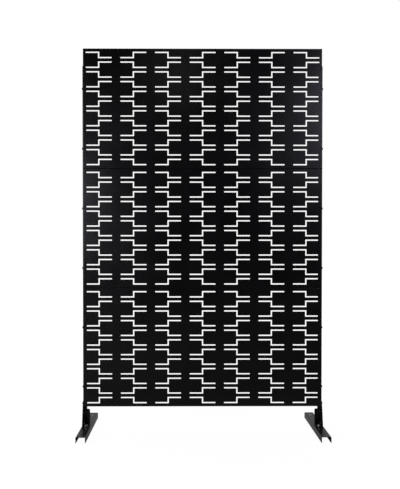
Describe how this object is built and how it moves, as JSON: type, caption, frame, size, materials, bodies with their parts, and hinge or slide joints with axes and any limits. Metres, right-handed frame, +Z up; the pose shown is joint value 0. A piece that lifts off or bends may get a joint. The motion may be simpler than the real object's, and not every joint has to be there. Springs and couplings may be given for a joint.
{
  "type": "privacy screen",
  "caption": "Free-standing outdoor privacy screen of stacked steel panels with stepped slots, bolted to angle uprights on two channel feet.",
  "frame": {"origin": "on the floor, midway between the two feet and at the middle of their length", "axes": "+Z up, +X to the right as seen from the front, +Y towards the back; the slotted face looks towards -Y"},
  "size_m": [1.237, 0.4064, 1.9558],
  "materials": {
    "powder_black": "satin black powder coat",
    "black_fastener": "black oxide",
    "zinc": "bright zinc plate"
  },
  "bodies": {
    "screen": {"bottom_panel": "powder_black", "middle_panel": "powder_black", "top_panel": "powder_black", "left_lower_upright": "powder_black", "right_lower_upright": "powder_black", "left_upper_upright": "powder_black", "right_upper_upright": "powder_black", "left_foot_bracket": "powder_black", "right_foot_bracket": "powder_black", "left_side_bolts": "black_fastener", "right_side_bolts": "black_fastener", "left_side_nuts": "black_fastener", "right_side_nuts": "black_fastener", "lower_seam_bolts": "black_fastener", "lower_seam_nuts": "black_fastener", "upper_seam_bolts": "black_fastener", "upper_seam_nuts": "black_fastener", "left_bracket_bolts": "black_fastener", "right_bracket_bolts": "black_fastener", "left_bracket_nuts": "black_fastener", "right_bracket_nuts": "black_fastener", "left_foot_bolt": "zinc", "right_foot_bolt": "zinc", "left_foot_washer": "zinc", "right_foot_washer": "zinc", "left_foot_nut": "zinc", "right_foot_nut": "zinc"},
    "left_swivel_foot": {"left_foot": "powder_black"},
    "right_swivel_foot": {"right_foot": "powder_black"}
  },
  "joints": [
    {"name": "left_foot_swivel", "type": "hinge", "parent": "screen", "child": "left_swivel_foot", "pos_m": [-0.5945, -0.0423, 0.029], "axis": [0, 0, 1], "range_deg": [-90, 90]},
    {"name": "right_foot_swivel", "type": "hinge", "parent": "screen", "child": "right_swivel_foot", "pos_m": [0.5945, -0.0423, 0.029], "axis": [0, 0, 1], "range_deg": [-90, 90]}
  ]
}
